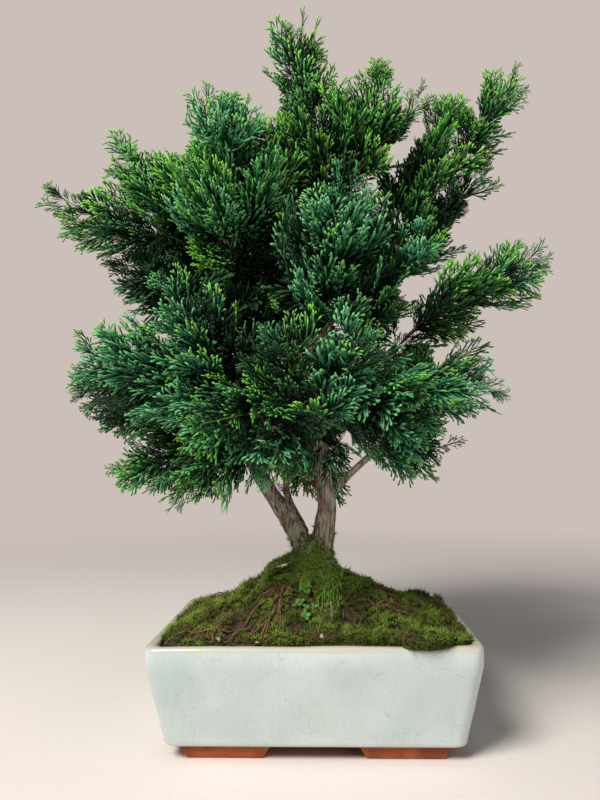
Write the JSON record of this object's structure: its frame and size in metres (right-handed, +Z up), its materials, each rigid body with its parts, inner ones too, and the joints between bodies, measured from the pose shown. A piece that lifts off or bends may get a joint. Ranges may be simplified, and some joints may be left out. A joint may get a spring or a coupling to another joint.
{
  "type": "hinoki cypress bonsai in a pot",
  "caption": "Upright twin-stemmed hinoki cypress bonsai with fan-shaped evergreen sprays, on a mossy mound in a low rectangular crackle-glazed ceramic pot on corner feet.",
  "frame": {"origin": "bottom centre of the whole object's box, on the surface that the pot's feet stand on", "axes": "+Z up along the tree, +X to the right along the pot's long side, the front of the tree and pot faces -Y"},
  "size_m": [0.459, 0.3236, 0.618],
  "materials": {
    "glaze": "pale mint crackle glaze, thin and cream at the rim, bare terracotta feet",
    "screen": "black moulded drainage mesh",
    "soil": "dark damp granular soil",
    "moss": "short cushion moss, olive to bright green",
    "bark": "fibrous grey-brown bark, mossy at the foot",
    "foliage": "blue-green scale foliage with yellow-green tips"
  },
  "bodies": {
    "root": {"pot": "glaze", "drain_screen_left": "screen", "drain_screen_right": "screen", "soil": "soil", "moss_back_left": "moss", "moss_back_right": "moss", "moss_front_left": "moss", "moss_front_right": "moss", "moss_left": "moss", "moss_right": "moss", "trunk": "bark", "branch_front": "bark", "branch_front_left": "bark", "branch_front_upper": "bark", "branch_left_low": "bark", "branch_rear_low": "bark", "branch_rear_upper": "bark", "branch_right_arm": "bark", "branch_right_low": "bark", "branch_right_upper": "bark", "branch_top_right": "bark", "branch_upper_left": "bark", "foliage_apex": "foliage", "foliage_bottom_left_front": "foliage", "foliage_centre_front_upper": "foliage", "foliage_centre_right_front": "foliage", "foliage_front_centre": "foliage", "foliage_front_centre_right": "foliage", "foliage_front_hang_right": "foliage", "foliage_front_low_centre": "foliage", "foliage_front_low_left": "foliage", "foliage_front_right_low": "foliage", "foliage_inner_left": "foliage", "foliage_left_arm": "foliage", "foliage_left_bottom": "foliage", "foliage_left_low_front": "foliage", "foliage_left_low_rear": "foliage", "foliage_left_low_upper": "foliage", "foliage_left_mid": "foliage", "foliage_left_upper": "foliage", "foliage_rear_low_centre": "foliage", "foliage_rear_low_left": "foliage", "foliage_rear_low_right": "foliage", "foliage_rear_mid": "foliage", "foliage_rear_top": "foliage", "foliage_rear_upper_left": "foliage", "foliage_rear_upper_right": "foliage", "foliage_right_arm": "foliage", "foliage_right_low": "foliage", "foliage_right_low_rear": "foliage", "foliage_right_mid": "foliage", "foliage_right_under": "foliage", "foliage_right_upper": "foliage", "foliage_right_upper_tip": "foliage", "foliage_top_centre": "foliage", "foliage_top_right": "foliage", "foliage_top_right_lobe": "foliage", "foliage_upper_left_front": "foliage", "foliage_upper_left_rear": "foliage"}
  },
  "joints": []
}
